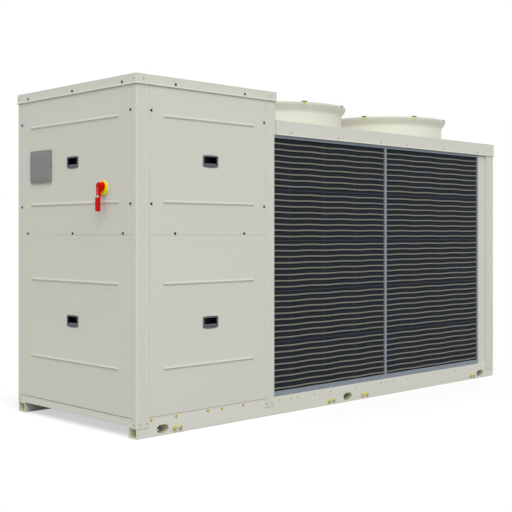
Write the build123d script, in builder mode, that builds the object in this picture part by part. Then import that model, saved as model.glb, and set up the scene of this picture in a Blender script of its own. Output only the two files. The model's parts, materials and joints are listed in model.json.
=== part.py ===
from build123d import *
from math import cos, radians, sin, sqrt
import os

# Air-cooled water chiller: a hollow sheet-steel cabinet at the control end and a coil section
# with two roof fans beyond it, all on one rectangular base of two box rails.
# X runs along the length away from the control end, the front long side faces -Y, Z is up.

# Base frame
base_length = 3175.0
base_width = 1108.0
sheet = 3.0
rail_width = 65.0
rail_height = 100.0
rail_wall = 4.0
lift_hole_length = 75.0
lift_hole_height = 43.0
lift_hole_inset = 167.0
lift_hole_z = 31.5
foot_hole_radius = 11.0
foot_hole_inset = 380.0
end_beam_height = 40.0
end_beam_depth = 40.0
cross_beam_width = 70.0
cross_beam_height = 40.0
cross_beam_z = 4.0
cross_beam_inset = 262.0
cross_beam_middle = 154.0

# Cabinet
cabinet_length = 971.0
cabinet_top = 1800.0
deck_step = 155.0
seam_z = 1004.0
seam = 0.5
panel_depth = 25.0
post_width = 80.0
post_depth = 30.0
post_radius = 6.0
foot_z = 50.0
middle_post_width = 71.0
partition_depth = 12.5
partition_inset = 4.0
cover_skirt = 52.0
drip_lip = 4.0
drip_slope = 8.0
tuck = 15.0
rib_height = 24.0
rib_proud = 6.0
rib_crest_low = 3.5
rib_crest = 1.5
rib_margin_end = 113.0
rib_margin_side = 90.0
lower_rib_insets = (236.0, 243.0)
upper_rib_insets = (168.0, 146.0)

# Grips
grip_width = 106.0
grip_height = 66.0
grip_bulge_top = 3.0
grip_bulge_low = 6.0
grip_side = 9.0
grip_pocket_height = 40.0
grip_pocket_lift = 4.0
grip_lip = 9.0
grip_depth = 34.0
grip_flange = 2.5
grip_wall = 2.5
grip_shifts = (-1.5, 1.0)

# Coil section
deck_skirt = 83.0
far_post_width = 183.0
far_post_outer = 94.0
far_post_leg = 80.0
far_post_radius = 6.0
far_post_recess = 8.0
coil_face = 12.0
coil_depth = 60.0
trim_face = 6.0
trim_bottom = 28.0
trim_top = 16.0
trim_side = 16.0
divider_width = 21.0
divider_middle = 1956.0
tube_height = 9.0
tube_proud = 2.5
tube_pitch = 33.7
tubes_in_group = 8
group_pitch = 283.0
first_tube_rise = 47.0

# Fans
fan_spacing = 1080.0
fan_middle = 2070.0
cowl_radius = 408.0
cowl_rim = 443.0
cowl_height = 154.0
flare_height = 36.0
flare_steps = 2
guard_wire = 6.0
guard_arms = 8
guard_rings = 6
guard_sides = 20
motor_radius = 70.0
motor_height = 60.0
shaft_radius = 14.0
shaft_length = 30.0
hub_radius = 88.0
hub_height = 62.0
blade_count = 6
blade_gap = 13.0
blade_thickness = 4.0
blade_root_depth = 6.0
blade_pitch = 21.0
blade_reach = 94.0
blade_camber = 9.0
blade_root_half = 46.0
blade_middle_lead = 78.0
blade_middle_trail = 58.0
blade_tip_lead = 66.0
blade_tip_trail = 86.0
running_gap = 0.3

# Controls on the control end
display_width = 202.0
display_height = 176.0
display_y = 858.0
display_drop = 6.5
display_reach = 14.0
display_rim = 10.0
display_top_slope = 26.0
display_low_slope = 38.0
display_base_reach = 6.0
display_wall = 2.5
display_bevel = 3.5
hinge_bevel = 3.0
lid_back = 4.0
latch_height = 22.0
latch_depth = 5.0
hinge_offset = 6.0
hinge_inset = 4.0
hinge_pin = 1.8
lug_radius = 3.2
lug_length = 12.0
lug_spacing = 116.0
switch_y = 274.0
switch_above_seam = 238.0
switch_disc_radius = 38.0
switch_disc_height = 6.0
handle_hub_radius = 20.0
handle_hub_rise = 12.0
handle_hub_reach = 37.5
handle_hub_taper = 11.0
handle_plate_depth = 13.5
handle_plate_radius = 13.5
handle_neck_width = 22.0
handle_neck_drop = 48.0
handle_reach = 44.0
handle_width = 23.0
handle_grip_depth = 16.5
handle_drop = 119.0
handle_shaft_radius = 6.0
handle_shaft_length = 16.0

# Water connections on the rear
pipe_radius = 38.0
pipe_wall = 4.0
pipe_reach = 60.0
pipe_x = 470.0
pipe_heights = (230.0, 430.0)

# The origin is on the floor under the middle of the overall box, so the handle and the water
# pipes, which stick out on one side only, shift the base a little.
x_end = -(base_length + sheet + drip_lip - handle_reach) / 2
x_far = x_end + base_length
y_front = -(base_width + pipe_reach - sheet - drip_lip) / 2
y_rear = y_front + base_width
y_middle = (y_front + y_rear) / 2
x_cabinet = x_end + cabinet_length
x_coil = x_cabinet - partition_depth
mid_plane = Plane.XZ.offset(-y_middle)
hinge_x = x_end - hinge_offset
hinge_y = y_front + display_y + display_width / 2 - hinge_inset

rail_in = sheet + rail_width
under_cover = cabinet_top - sheet
deck_top = cabinet_top - deck_step
under_deck = deck_top - sheet
deck_low = deck_top - deck_skirt
cowl_top = deck_top + cowl_height
switch_z = seam_z + switch_above_seam
cover_low = cabinet_top - cover_skirt

# Each level has two ribs, and the grips and the display sit about halfway between them.
lower_ribs = (rail_height + lower_rib_insets[0], seam_z - lower_rib_insets[1])
upper_ribs = (seam_z + upper_rib_insets[0], cover_low - upper_rib_insets[1])
grip_heights = (sum(lower_ribs) / 2 + grip_shifts[0], sum(upper_ribs) / 2 + grip_shifts[1])
display_z = sum(upper_ribs) / 2 - display_drop

os.makedirs("parts", exist_ok=True)


def save(part, name):
    part.label = name
    export_step(part, f"parts/{name}.step")


def block(x0, x1, y0, y1, z0, z1, mode=Mode.ADD):
    """Adds or cuts a box between two corners, in the open part."""
    with Locations(((x0 + x1) / 2, (y0 + y1) / 2, (z0 + z1) / 2)):
        Box(x1 - x0, y1 - y0, z1 - z0, mode=mode)


def save_pair(front, front_name, rear_name):
    """Writes a front piece and its mirror image on the rear side."""
    save(front, front_name)
    with BuildPart() as rear:
        mirror(front, about=mid_plane)
    save(rear.part, rear_name)


def end_plane(z):
    """On the control end, x to the front, y up, facing out."""
    return Plane(origin=(x_end, y_middle, z), x_dir=(0, -1, 0), z_dir=(-1, 0, 0))


def far_plane(z):
    return Plane(origin=(x_far, y_middle, z), x_dir=(0, 1, 0), z_dir=(1, 0, 0))


def front_plane(x, z):
    return Plane(origin=(x, y_front, z), x_dir=(1, 0, 0), z_dir=(0, -1, 0))


def rear_plane(x, z):
    return Plane(origin=(x, y_rear, z), x_dir=(-1, 0, 0), z_dir=(0, 1, 0))


def base_rail():
    """Box rail with three lifting holes through both walls and foot holes in its floor."""
    start = x_end + sheet
    length = base_length - 2 * sheet
    y_centre = y_front + sheet + rail_width / 2
    with BuildPart() as rail:
        with BuildSketch(Plane.YZ.offset(start)):
            with Locations((y_centre, rail_height / 2)):
                Rectangle(rail_width, rail_height)
                Rectangle(rail_width - 2 * rail_wall, rail_height - 2 * rail_wall, mode=Mode.SUBTRACT)
        extrude(amount=length)
        holes = (x_end + lift_hole_inset, x_end + base_length / 2, x_far - lift_hole_inset)
        with BuildSketch(Plane.XZ.offset(-(y_front + sheet))):
            with Locations([(x, lift_hole_z) for x in holes]):
                SlotOverall(lift_hole_length, lift_hole_height)
        extrude(amount=-rail_width, mode=Mode.SUBTRACT)
        with BuildSketch(Plane.XY):
            with Locations((x_end + foot_hole_inset, y_centre), (x_far - foot_hole_inset, y_centre)):
                Circle(foot_hole_radius)
        extrude(amount=rail_wall, mode=Mode.SUBTRACT)
    return rail.part


def end_beam(x_outer, inward):
    """Channel between the rails, its back to the end of the base."""
    top = rail_height - sheet
    low = top - end_beam_height
    x_inner = x_outer + inward * end_beam_depth
    x_web = x_outer + inward * rail_wall
    with BuildPart() as beam:
        block(min(x_outer, x_inner), max(x_outer, x_inner), y_front + rail_in, y_rear - rail_in, low, top)
        block(
            min(x_web, x_inner),
            max(x_web, x_inner),
            y_front + rail_in,
            y_rear - rail_in,
            low + rail_wall,
            top - rail_wall,
            mode=Mode.SUBTRACT,
        )
    return beam.part


def cross_beams():
    """Four channels between the rails, open below, by the lifting holes and about the middle."""
    middle = x_end + base_length / 2
    places = (
        x_end + cross_beam_inset,
        middle - cross_beam_middle,
        middle + cross_beam_middle,
        x_far - cross_beam_inset,
    )
    top = cross_beam_z + cross_beam_height
    with BuildPart() as beams:
        with BuildSketch(Plane.XZ.offset(-(y_front + rail_in))):
            with Locations([(x, cross_beam_z + cross_beam_height / 2) for x in places]):
                Rectangle(cross_beam_width, cross_beam_height)
            with Locations([(x, (cross_beam_z + top - rail_wall) / 2) for x in places]):
                Rectangle(cross_beam_width - 2 * rail_wall, cross_beam_height - rail_wall,
                          mode=Mode.SUBTRACT)
        extrude(amount=-(base_width - 2 * rail_in))
    return beams.part


def base_tray():
    with BuildPart() as tray:
        block(x_end + sheet, x_far - sheet, y_front + rail_in, y_rear - rail_in,
              rail_height - sheet, rail_height)
    return tray.part


def control_post():
    """Hollow corner post whose two outer walls lap the rail down to the foot line."""
    with BuildPart() as post:
        with BuildSketch(Plane.XY.offset(foot_z)) as section:
            with Locations((x_end + post_width / 2, y_front + post_depth / 2)):
                Rectangle(post_width, post_depth)
            fillet(section.vertices().sort_by_distance((x_end, y_front, foot_z))[0], post_radius)
            with Locations((x_end + post_width / 2, y_front + post_depth / 2)):
                Rectangle(post_width - 2 * sheet, post_depth - 2 * sheet, mode=Mode.SUBTRACT)
        extrude(amount=under_cover - foot_z)
        block(
            x_end + sheet,
            x_end + post_width,
            y_front + sheet,
            y_front + post_depth,
            foot_z,
            rail_height,
            mode=Mode.SUBTRACT,
        )
    return post.part


def middle_post():
    x0 = x_coil - seam - middle_post_width
    x1 = x0 + middle_post_width
    with BuildPart() as post:
        block(x0, x1, y_front, y_front + post_depth, foot_z, under_cover)
        block(x0 + sheet, x1 - sheet, y_front + sheet, y_front + post_depth - sheet, foot_z, under_cover,
              mode=Mode.SUBTRACT)
        block(x0, x1, y_front + sheet, y_front + post_depth, foot_z, rail_height, mode=Mode.SUBTRACT)
    return post.part


def far_post():
    """Wide folded corner sheet: a recessed strip by the coil, a step out and a rounded corner."""
    x0 = x_far - far_post_width
    x_step = x_far - far_post_outer
    x_round = x_far - far_post_radius
    y_strip = y_front + far_post_recess
    with BuildPart() as post:
        with BuildSketch(Plane.XY.offset(foot_z)) as section:
            with BuildLine():
                Polyline((x0, y_strip), (x_step, y_strip), (x_step, y_front), (x_round, y_front))
                CenterArc((x_round, y_front + far_post_radius), far_post_radius, -90, 90)
                Line((x_far, y_front + far_post_radius), (x_far, y_front + far_post_leg))
                Line((x_far, y_front + far_post_leg), (x_far - sheet, y_front + far_post_leg))
                Line((x_far - sheet, y_front + far_post_leg), (x_far - sheet, y_front + far_post_radius))
                CenterArc((x_round, y_front + far_post_radius), far_post_radius - sheet, 0, -90)
                Polyline(
                    (x_round, y_front + sheet),
                    (x_step + sheet, y_front + sheet),
                    (x_step + sheet, y_strip + sheet),
                    (x0, y_strip + sheet),
                    (x0, y_strip),
                )
            make_face()
        extrude(amount=under_deck - foot_z)
        block(x0, x_step, y_front, y_front + far_post_leg, foot_z, rail_height, mode=Mode.SUBTRACT)
        block(x_step, x_far, y_front + sheet, y_front + far_post_leg, foot_z, rail_height,
              mode=Mode.SUBTRACT)
        block(x_round, x_far, y_front, y_front + sheet, foot_z, rail_height, mode=Mode.SUBTRACT)
    return post.part


def panel(plane, width, height, ribs=(), rib_length=0.0, grip=None, pipes=()):
    """Pressed panel with returned edges; the plane's origin is the middle of its lower edge."""
    with BuildPart() as pan:
        with BuildSketch(plane):
            with Locations((0, height / 2)):
                Rectangle(width, height)
        extrude(amount=-panel_depth)
        with BuildSketch(plane.offset(-panel_depth)):
            with Locations((0, height / 2)):
                Rectangle(width - 2 * sheet, height - 2 * sheet)
        extrude(amount=panel_depth - sheet, mode=Mode.SUBTRACT)
        for z in ribs:
            start = plane.location * Pos(rib_length / 2, z, 0)
            with BuildSketch(Plane(origin=start.position, x_dir=plane.z_dir, z_dir=-plane.x_dir)):
                with BuildLine():
                    Polyline(
                        (0, rib_height / 2),
                        (rib_proud, rib_crest - rib_crest_low),
                        (rib_proud, -rib_crest_low),
                        (0, -rib_height / 2),
                        close=True,
                    )
                make_face()
            extrude(amount=rib_length)
        if grip is not None:
            with BuildSketch(plane):
                with Locations((0, grip + grip_pocket_lift)):
                    Rectangle(grip_width - 2 * grip_side + 2 * grip_wall + seam,
                              grip_pocket_height + 2 * grip_wall + seam)
            extrude(amount=-sheet, mode=Mode.SUBTRACT)
        if pipes:
            with BuildSketch(plane):
                with Locations(pipes):
                    Circle(pipe_radius - pipe_wall)
            extrude(amount=-sheet, mode=Mode.SUBTRACT)
    return pan.part


def grips(plane_at):
    """The two recessed hand grips of a side: a bowed bezel round an open pocket with a sloped lip."""
    inner_width = grip_width - 2 * grip_side
    with BuildPart() as pair:
        for z in grip_heights:
            plane = plane_at(z)
            with BuildSketch(plane):
                half_w = grip_width / 2
                half_h = grip_height / 2
                with BuildLine():
                    ThreePointArc((-half_w, half_h - grip_bulge_top), (0, half_h),
                                  (half_w, half_h - grip_bulge_top))
                    Line((half_w, half_h - grip_bulge_top), (half_w, grip_bulge_low - half_h))
                    ThreePointArc((half_w, grip_bulge_low - half_h), (0, -half_h),
                                  (-half_w, grip_bulge_low - half_h))
                    Line((-half_w, grip_bulge_low - half_h), (-half_w, half_h - grip_bulge_top))
                make_face()
            extrude(amount=grip_flange)
            with BuildSketch(plane):
                with Locations((0, grip_pocket_lift)):
                    Rectangle(inner_width + 2 * grip_wall, grip_pocket_height + 2 * grip_wall)
            extrude(amount=-grip_depth)
            with BuildSketch(plane.offset(grip_flange)):
                with Locations((0, grip_pocket_lift)):
                    Rectangle(inner_width, grip_pocket_height)
            extrude(amount=grip_wall - grip_depth - grip_flange, mode=Mode.SUBTRACT)
            low = grip_pocket_lift - grip_pocket_height / 2
            start = plane.location * Pos(inner_width / 2, low, grip_flange)
            with BuildSketch(Plane(origin=start.position, x_dir=plane.z_dir, z_dir=-plane.x_dir)):
                with BuildLine():
                    Polyline((0, 0), (0, -grip_lip), (-grip_flange, -grip_lip), (-grip_flange, 0),
                             close=True)
                make_face()
            extrude(amount=inner_width, mode=Mode.SUBTRACT)
    return pair.part


def tray_cover(x0, x1, z_low, z_top, lip_x0, lip_x1):
    """Sheet roof with a skirt all round and a drip lip, sloped on top, along its lower edge."""
    y0 = y_front - sheet
    y1 = y_rear + sheet
    block(x0, x1, y0, y1, z_low, z_top)
    block(lip_x0, lip_x1, y0 - drip_lip, y1 + drip_lip, z_low, z_low + sheet)
    lip_width = y1 - y0 + 2 * drip_lip
    with Locations(((lip_x0 + lip_x1) / 2, y_middle, z_low + sheet + drip_slope / 2)):
        Wedge(lip_x1 - lip_x0, drip_slope, lip_width, x0 - lip_x0, drip_lip, x1 - lip_x0,
              lip_width - drip_lip, rotation=(90, 0, 0))
    block(x0 + sheet, x1 - sheet, y0 + sheet, y1 - sheet, z_low, z_top - sheet, mode=Mode.SUBTRACT)


def cabinet_cover():
    with BuildPart() as cover:
        x0 = x_end - sheet
        x1 = x_cabinet + sheet
        tray_cover(x0, x1, cover_low, cabinet_top, x0 - drip_lip, x1)
    return cover.part


def partition_panel():
    """Closes the cabinet on the coil side; its edges are folded back, and the coils pass beside it."""
    coil_back = coil_face + coil_depth
    with BuildPart() as wall:
        y0 = y_front + partition_inset
        y1 = y_rear - partition_inset
        block(x_coil, x_cabinet, y0, y1, deck_low, under_cover)
        block(x_coil, x_cabinet - sheet, y0 + sheet, y1 - sheet, deck_low + sheet, under_cover - sheet,
              mode=Mode.SUBTRACT)
        low_y0 = y_front + coil_back
        low_y1 = y_rear - coil_back
        block(x_coil, x_cabinet, low_y0, low_y1, rail_height, deck_low + sheet)
        block(x_coil, x_cabinet - sheet, low_y0 + sheet, low_y1 - sheet, rail_height + sheet,
              deck_low + sheet, mode=Mode.SUBTRACT)
    return wall.part


def fan_deck():
    fan_x = (x_end + fan_middle - fan_spacing / 2, x_end + fan_middle + fan_spacing / 2)
    with BuildPart() as deck:
        x0 = x_cabinet
        x1 = x_far + sheet
        tray_cover(x0, x1, deck_low, deck_top, x0, x1 + drip_lip)
        with BuildSketch(Plane.XY.offset(deck_top)):
            with Locations([(x, y_middle) for x in fan_x]):
                Circle(cowl_radius - sheet)
        extrude(amount=-sheet, mode=Mode.SUBTRACT)
    return deck.part


def coil_frame():
    """Galvanised frame of the front coils: top, bottom, far side and the divider."""
    x1 = x_far - far_post_width
    y0 = y_front + trim_face
    y1 = y_front + coil_face + coil_depth
    x_divider = x_end + divider_middle
    with BuildPart() as ring:
        block(x_coil, x1, y0, y1, rail_height, deck_low)
        block(x_cabinet + sheet, x1, y0, y1, deck_low, deck_low + tuck)
        for low, high in (
            (x_coil, x_divider - divider_width / 2),
            (x_divider + divider_width / 2, x1 - trim_side),
        ):
            block(low, high, y0, y1, rail_height + trim_bottom, deck_low - trim_top, mode=Mode.SUBTRACT)
    return ring.part


def coil(x0, x1):
    """Coil block with the flat tubes, in groups as far up as they fit, a little proud of the fins."""
    y0 = y_front + coil_face
    low = rail_height + trim_bottom
    high = deck_low - trim_top
    first_row = rail_height + first_tube_rise
    top_row = high - tube_height
    groups = int((top_row - first_row) / group_pitch) + 1
    rows = [
        first_row + group * group_pitch + tube * tube_pitch
        for group in range(groups)
        for tube in range(tubes_in_group)
    ]
    with BuildPart() as slab:
        with BuildSketch(Plane.YZ.offset(x0)):
            with Locations((y0 + coil_depth / 2, (low + high) / 2)):
                Rectangle(coil_depth, high - low)
            with Locations([(y0, z) for z in rows if z <= top_row]):
                Rectangle(2 * tube_proud, tube_height)
        extrude(amount=x1 - x0)
    return slab.part


def fan_cowl():
    """Spun ring on the deck: a plain wall and a mouth flared outwards in short cones."""
    flare = cowl_rim - cowl_radius
    z_flare = cowl_top - flare_height
    turns = [radians(90 * step / flare_steps) for step in range(flare_steps + 1)]
    outer = [(cowl_rim - flare * cos(t), z_flare + (flare_height - sheet) * sin(t)) for t in turns]
    inner = [(cowl_rim - (flare + sheet) * cos(t), z_flare + flare_height * sin(t)) for t in turns]
    with BuildPart() as cowl:
        with BuildSketch(Plane.XZ):
            with BuildLine():
                Polyline(
                    (cowl_radius - sheet, deck_top),
                    (cowl_radius, deck_top),
                    *outer,
                    *reversed(inner),
                    close=True,
                )
            make_face()
        revolve(axis=Axis.Z)
    return cowl.part


def fan_guard():
    """Wire guard on the cowl's mouth that carries the motor at its middle."""
    ring_step = (cowl_rim - motor_radius) / guard_rings
    with BuildPart() as guard:
        with BuildSketch(Plane.XY.offset(cowl_top)):
            for ring in range(1, guard_rings):
                radius = motor_radius + ring * ring_step
                RegularPolygon(radius + guard_wire / 2, guard_sides)
                RegularPolygon(radius - guard_wire / 2, guard_sides, mode=Mode.SUBTRACT)
            RegularPolygon(motor_radius, guard_sides)
            with PolarLocations((cowl_rim + guard_wire) / 2, guard_arms, start_angle=180 / guard_arms):
                Rectangle(cowl_rim + guard_wire, guard_wire)
        extrude(amount=guard_wire)
        with BuildSketch(Plane.XY.offset(cowl_top)):
            with PolarLocations(cowl_rim + guard_wire / 2, guard_arms, start_angle=180 / guard_arms):
                Rectangle(guard_wire, 2 * guard_wire)
        extrude(amount=-3 * guard_wire)
        with BuildSketch(Plane.XY.offset(cowl_top)):
            RegularPolygon(motor_radius, guard_sides)
        extrude(amount=-motor_height)
        with BuildSketch(Plane.XY.offset(cowl_top - motor_height)):
            Circle(shaft_radius)
        extrude(amount=-shaft_length)
    return guard.part


def fan_blade():
    """One blade on the X axis: a cambered strip at the blade's pitch, trimmed to a swept outline."""
    root = hub_radius - blade_root_depth
    tip = cowl_radius - sheet - blade_gap
    rise = blade_reach * sin(radians(blade_pitch))
    run = blade_reach * cos(radians(blade_pitch))
    with BuildPart() as blade:
        with BuildSketch(Plane.YZ.offset(root)):
            with BuildLine():
                ThreePointArc((-run, -rise), (0, blade_camber), (run, rise))
                Line((run, rise), (run, rise + blade_thickness))
                ThreePointArc((run, rise + blade_thickness), (0, blade_camber + blade_thickness),
                              (-run, blade_thickness - rise))
                Line((-run, blade_thickness - rise), (-run, -rise))
            make_face()
        extrude(amount=tip - root)
        middle = (root + tip) / 2
        with BuildSketch(Plane.XY.offset(-hub_height)):
            lead_corner = (sqrt(tip**2 - blade_tip_lead**2), -blade_tip_lead)
            trail_corner = (sqrt(tip**2 - blade_tip_trail**2), blade_tip_trail)
            with BuildLine():
                Polyline((root, -blade_root_half), (middle, -blade_middle_lead), lead_corner)
                ThreePointArc(lead_corner, (tip, 0), trail_corner)
                Polyline(trail_corner, (middle, blade_middle_trail), (root, blade_root_half),
                         (root, -blade_root_half))
            make_face()
        extrude(amount=2 * hub_height, mode=Mode.INTERSECT)
    return blade.part


def fan_rotor():
    """Hub on the motor shaft with its ring of blades."""
    top = cowl_top - motor_height - running_gap
    blade = fan_blade().moved(Location((0, 0, top - hub_height / 2 - blade_thickness / 2)))
    with BuildPart() as rotor:
        with BuildSketch(Plane.XY.offset(top)):
            Circle(hub_radius)
        extrude(amount=-hub_height)
        for number in range(blade_count):
            add(blade.rotate(Axis.Z, 360 * number / blade_count))
        with BuildSketch(Plane.XY.offset(top)):
            Circle(shaft_radius + running_gap)
        extrude(amount=-(shaft_length + running_gap), mode=Mode.SUBTRACT)
    return rotor.part


def display_plane():
    """Middle of the display on the panel, x to the front, facing out."""
    return Plane(origin=(x_end, y_front + display_y, display_z), x_dir=(0, -1, 0), z_dir=(-1, 0, 0))


def display_base():
    """Display housing on the panel, with two lugs that hold the cover's hinge pin."""
    with BuildPart() as base:
        margin = display_wall + running_gap
        hinge_side = hinge_inset + hinge_offset + running_gap
        inside = Location((hinge_side / 2, 0))
        with BuildSketch(display_plane()):
            with Locations(inside):
                Rectangle(display_width - hinge_side, display_height)
        extrude(amount=lid_back - running_gap)
        with BuildSketch(display_plane()):
            with Locations(Location(((hinge_side - margin) / 2, 0))):
                Rectangle(display_width - hinge_side - margin - display_bevel, display_height - 2 * margin)
        extrude(amount=display_base_reach)
        for z in (display_z - lug_spacing / 2, display_z + lug_spacing / 2):
            with BuildSketch(Plane.XY.offset(z - lug_length / 2)):
                with Locations((hinge_x, hinge_y)):
                    Circle(lug_radius)
                with Locations((hinge_x, hinge_y - hinge_offset)):
                    Rectangle(2 * lug_radius, 2 * hinge_offset)
            extrude(amount=lug_length)
        with BuildSketch(Plane.XY.offset(display_z - lug_spacing / 2)):
            with Locations((hinge_x, hinge_y)):
                Circle(hinge_pin)
        extrude(amount=lug_spacing)
    return base.part


def lid_corners(front, shrink):
    """Side view of the cover, as distance off the panel and height: sloped above and below."""
    half = display_height / 2 - shrink
    rim = display_rim - shrink
    return (
        (lid_back, -half),
        (rim, -half),
        (front, display_low_slope - half),
        (front, half - display_top_slope),
        (rim, half),
        (lid_back, half),
    )


def display_lid():
    """Hollow cover over the display, sloped above and below, hinged along its far edge."""
    y = y_front + display_y
    side = display_width / 2
    with BuildPart() as lid:
        with BuildSketch(Plane(origin=(x_end, y - side, display_z), x_dir=(-1, 0, 0), z_dir=(0, 1, 0))):
            with BuildLine():
                Polyline(*lid_corners(display_reach, 0.0), close=True)
            make_face()
        extrude(amount=display_width)
        upright = lid.edges().filter_by(Axis.Z).group_by(Axis.X)[0].sort_by(Axis.Y)
        chamfer(upright[0], display_bevel)
        chamfer(upright[-1], hinge_bevel)
        with BuildSketch(
            Plane(origin=(x_end, y - side + display_wall, display_z), x_dir=(-1, 0, 0), z_dir=(0, 1, 0))
        ):
            with BuildLine():
                Polyline(*lid_corners(display_reach - display_wall, display_wall), close=True)
            make_face()
        extrude(amount=display_width - 2 * display_wall, mode=Mode.SUBTRACT)
        block(x_end - display_rim, x_end - display_rim + latch_depth, y - side, y - side + display_wall,
              display_z - latch_height / 2, display_z + latch_height / 2, mode=Mode.SUBTRACT)
        knuckle = lug_spacing - lug_length - 2 * running_gap
        with BuildSketch(Plane.XY.offset(display_z - knuckle / 2)):
            with Locations((hinge_x, hinge_y)):
                Circle(lug_radius)
            with Locations((hinge_x, hinge_y + hinge_inset / 2)):
                Rectangle(2 * lug_radius, hinge_inset)
        extrude(amount=knuckle)
        with BuildSketch(Plane.XY.offset(display_z - lug_spacing / 2)):
            with Locations((hinge_x, hinge_y)):
                Circle(hinge_pin + running_gap)
        extrude(amount=lug_spacing, mode=Mode.SUBTRACT)
        notch = lug_radius + running_gap
        for z in (display_z - lug_spacing / 2, display_z + lug_spacing / 2):
            block(
                hinge_x - notch,
                x_end,
                hinge_y - notch,
                hinge_y + hinge_inset,
                z - lug_length / 2 - running_gap,
                z + lug_length / 2 + running_gap,
                mode=Mode.SUBTRACT,
            )
    return lid.part


def switch_plate():
    """Round yellow plate with the switch's shaft."""
    with BuildPart() as plate:
        with BuildSketch(Plane(origin=(x_end, y_front + switch_y, switch_z), x_dir=(0, -1, 0),
                               z_dir=(-1, 0, 0))):
            Circle(switch_disc_radius)
        extrude(amount=switch_disc_height)
        with BuildSketch(Plane(origin=(x_end, y_front + switch_y, switch_z), x_dir=(0, -1, 0),
                               z_dir=(-1, 0, 0))):
            Circle(handle_shaft_radius)
        extrude(amount=switch_disc_height + handle_shaft_length)
    return plate.part


def switch_handle():
    """Red rotary handle: a tapered hub, a plate narrowing to a neck, and a grip hanging down at rest."""
    plane = Plane(origin=(x_end - switch_disc_height - running_gap, y_front + switch_y, switch_z),
                  x_dir=(0, -1, 0), z_dir=(-1, 0, 0))
    hub_depth = handle_hub_reach - switch_disc_height - running_gap
    reach = handle_reach - switch_disc_height - running_gap
    with BuildPart() as handle:
        with BuildSketch(plane):
            with Locations((0, handle_hub_rise)):
                Circle(handle_hub_radius)
        extrude(amount=hub_depth, taper=handle_hub_taper)
        with BuildSketch(plane.offset(hub_depth - handle_plate_depth)):
            with Locations((0, handle_hub_rise)):
                Circle(handle_plate_radius)
            with Locations((0, -handle_neck_drop + seam)):
                Rectangle(handle_neck_width, 2 * seam)
            make_hull()
        extrude(amount=handle_plate_depth)
        with BuildSketch(plane.offset(reach - handle_grip_depth)):
            with Locations((0, -(handle_drop + handle_neck_drop) / 2)):
                Rectangle(handle_width, handle_drop - handle_neck_drop)
        extrude(amount=handle_grip_depth)
        with BuildSketch(plane):
            Circle(handle_shaft_radius + running_gap)
        extrude(amount=handle_shaft_length + running_gap, mode=Mode.SUBTRACT)
    return handle.part


def water_pipe(z):
    """Open pipe stub round a hole in the rear panel."""
    with BuildPart() as pipe:
        with BuildSketch(rear_plane(x_end + pipe_x, z)):
            Circle(pipe_radius)
            Circle(pipe_radius - pipe_wall, mode=Mode.SUBTRACT)
        extrude(amount=pipe_reach)
    return pipe.part


save_pair(base_rail(), "base_rail_front", "base_rail_rear")
save(end_beam(x_end + sheet, 1), "end_beam_control")
save(end_beam(x_far - sheet, -1), "end_beam_far")
save(cross_beams(), "cross_beams")
save(base_tray(), "base_tray")
save_pair(control_post(), "post_control_front", "post_control_rear")
save_pair(middle_post(), "post_middle_front", "post_middle_rear")
save_pair(far_post(), "post_far_front", "post_far_rear")

# The panels of each side stand between its posts, the upper one on the lower.
side_low_x = x_end + post_width
side_high_x = x_coil - seam - middle_post_width
side_middle_x = (side_low_x + side_high_x) / 2
side_width = side_high_x - side_low_x - 2 * seam
end_width = base_width - 2 * post_depth - 2 * seam
far_width = base_width - 2 * far_post_leg - 2 * seam
levels = {
    "lower": (rail_height, seam_z, grip_heights[0], lower_ribs),
    "upper": (seam_z + seam, cover_low + tuck, grip_heights[1], upper_ribs),
}
for level, (z_low, z_high, grip_z, rib_heights) in levels.items():
    ribs = [z - z_low for z in rib_heights]
    height = z_high - z_low
    save(
        panel(end_plane(z_low), end_width, height, ribs, end_width - 2 * rib_margin_end, grip_z - z_low),
        f"end_panel_{level}",
    )
    rib_length = side_width - 2 * rib_margin_side
    save(
        panel(front_plane(side_middle_x, z_low), side_width, height, ribs, rib_length, grip_z - z_low),
        f"front_panel_{level}",
    )
    offset = side_middle_x - (x_end + pipe_x)
    pipes = [(offset, z - z_low) for z in pipe_heights if z_low < z < z_high]
    save(
        panel(rear_plane(side_middle_x, z_low), side_width, height, ribs, rib_length,
              grip_z - z_low, pipes),
        f"rear_panel_{level}",
    )
save(panel(far_plane(rail_height), far_width, seam_z - rail_height), "far_panel_lower")
save(panel(far_plane(seam_z + seam), far_width, deck_low + tuck - seam_z - seam), "far_panel_upper")

save(grips(end_plane), "grips_end")
save(grips(lambda z: front_plane(side_middle_x, z)), "grips_front")
save(grips(lambda z: rear_plane(side_middle_x, z)), "grips_rear")
save(cabinet_cover(), "cabinet_cover")
save(partition_panel(), "partition_panel")
save(fan_deck(), "fan_deck")

save_pair(coil_frame(), "coil_frame_front", "coil_frame_rear")
divider_x = x_end + divider_middle
save_pair(coil(x_coil, divider_x - divider_width / 2), "coil_front_1", "coil_rear_1")
save_pair(
    coil(divider_x + divider_width / 2, x_far - far_post_width - trim_side), "coil_front_2", "coil_rear_2"
)
fan_pieces = {"fan_cowl": fan_cowl(), "fan_guard": fan_guard(), "fan_rotor": fan_rotor()}
for number, side in ((1, -1), (2, 1)):
    fan_x = x_end + fan_middle + side * fan_spacing / 2
    for name, piece in fan_pieces.items():
        save(piece.moved(Location((fan_x, y_middle, 0))), f"{name}_{number}")

save(display_base(), "display_base")
save(display_lid(), "display_lid")
save(switch_plate(), "switch_plate")
save(switch_handle(), "switch_handle")
save(water_pipe(pipe_heights[0]), "water_inlet")
save(water_pipe(pipe_heights[1]), "water_outlet")
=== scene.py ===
import json
import math

import bpy
from mathutils import Matrix, Vector


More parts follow.
